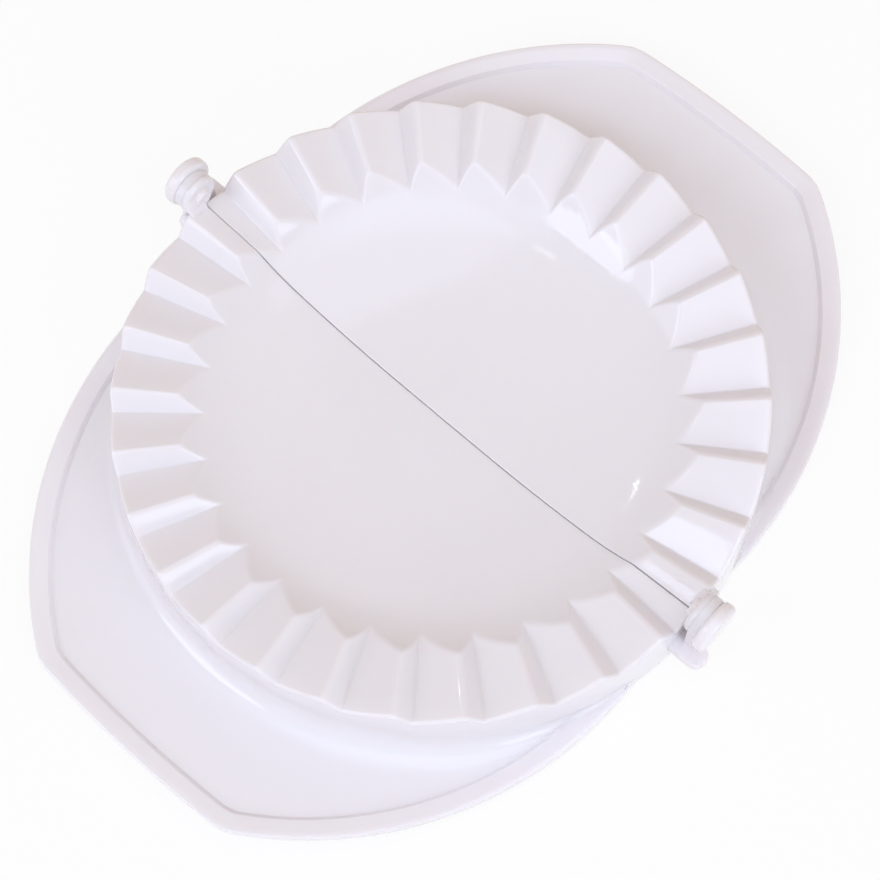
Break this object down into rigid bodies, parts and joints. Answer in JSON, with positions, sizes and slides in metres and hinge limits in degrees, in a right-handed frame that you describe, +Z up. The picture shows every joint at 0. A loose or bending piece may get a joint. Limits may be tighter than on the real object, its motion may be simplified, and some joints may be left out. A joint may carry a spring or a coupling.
{
  "type": "dough press",
  "caption": "Hand press that folds, crimps and seals a filled round of dough: hinged half-moon bowls with fluted rims and handle trays, shown open.",
  "frame": {"origin": "on the surface that the open press stands on, under the middle of the hinge axis", "axes": "+X along the hinge axis, towards the end with the rear half's peg; +Y away from the hinge, towards the rear half's handle; +Z up, out of the open bowl"},
  "size_m": [0.167, 0.209, 0.0272],
  "materials": {
    "moulding": "glossy injection-moulded polypropylene, pale lilac white"
  },
  "bodies": {
    "rear_half": {"rear_press_half": "moulding"},
    "front_half": {"front_press_half": "moulding"}
  },
  "joints": [
    {"name": "fold", "type": "hinge", "parent": "rear_half", "child": "front_half", "pos_m": [0, 0, 0.021], "axis": [-1, 0, 0], "range_deg": [0, 180]}
  ]
}
